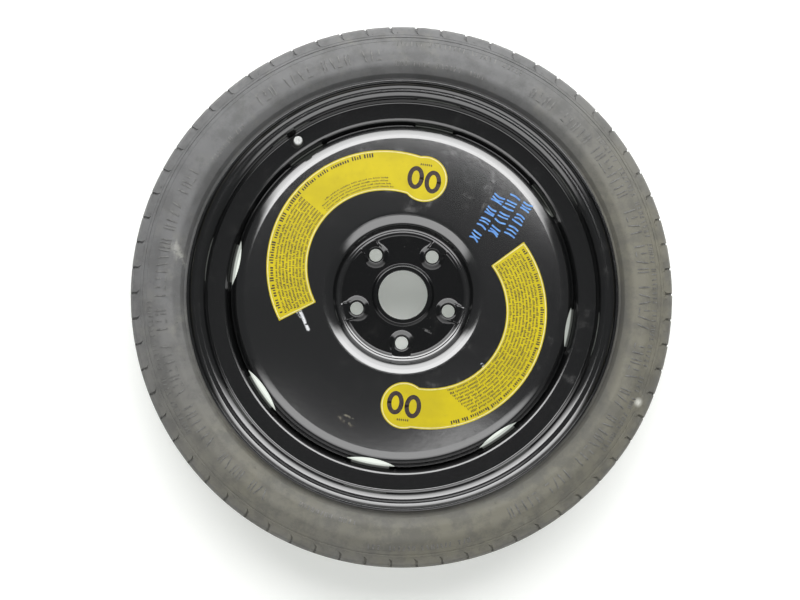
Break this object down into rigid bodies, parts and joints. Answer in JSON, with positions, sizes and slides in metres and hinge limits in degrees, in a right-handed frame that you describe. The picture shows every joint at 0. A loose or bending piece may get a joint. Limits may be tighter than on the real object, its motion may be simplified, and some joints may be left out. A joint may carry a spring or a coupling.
{
  "type": "temporary spare wheel",
  "caption": "Narrow temporary spare wheel: slim tyre on a black pressed steel rim and slotted disc, with recessed hub, ball-seat bolt holes, snap-in valve and yellow labels.",
  "frame": {"origin": "on the wheel's axis, in the middle of the tyre's width, which is the middle of the bounding box", "axes": "+Z along the wheel's axis, out of its outer face, which is up as it lies; +X to the right and +Y up in the view on its outer face, with the valve at 124.6 degrees from +X towards +Y"},
  "size_m": [0.632, 0.632, 0.125],
  "materials": {
    "tyre_rubber": "moulded rubber, dry and slightly dusty",
    "wheel_paint": "gloss black paint over pressed steel",
    "weld_paint": "black paint over rippled weld",
    "valve_rubber": "smooth moulded rubber",
    "valve_brass": "turned, slightly dull",
    "core_brass": "turned, bright",
    "gasket": "smooth",
    "spring_steel": "drawn wire",
    "seal_rubber": "smooth",
    "cap_plastic": "satin light grey plastic",
    "label_film": "yellow film with dark print"
  },
  "bodies": {
    "wheel": {"tyre": "tyre_rubber", "rim": "wheel_paint", "disc": "wheel_paint", "weld_beads": "weld_paint", "valve_body": "valve_rubber", "valve_tube": "valve_brass", "core_housing": "core_brass", "core_gasket": "gasket", "core_spring": "spring_steel", "upper_label": "label_film", "lower_label": "label_film"},
    "pin": {"core_pin": "core_brass", "pin_seal": "seal_rubber"},
    "cap_seal": {"cap_seal": "seal_rubber"},
    "cap": {"valve_cap": "cap_plastic"}
  },
  "joints": [
    {"name": "pin_press", "type": "slide", "parent": "wheel", "child": "pin", "axis": [0.0788, -0.1142, 0.9903], "range_m": [-0.0012, 0], "stiffness_N_per_m": 900, "springref_m": 0.002, "deforming": ["core_spring"]},
    {"name": "cap_lift", "type": "slide", "parent": "wheel", "child": "cap_seal", "axis": [0.0788, -0.1142, 0.9903], "range_m": [0, 0.00476]},
    {"name": "cap_turn", "type": "hinge", "parent": "cap_seal", "child": "cap", "pos_m": [-0.12394, 0.17966, 0.02524], "axis": [0.0788, -0.1142, 0.9903], "range_deg": [0, 2160]}
  ],
  "couplings": [
    {"joint": "cap_turn", "follows": "cap_lift", "rad_per_m": 7915.8}
  ]
}
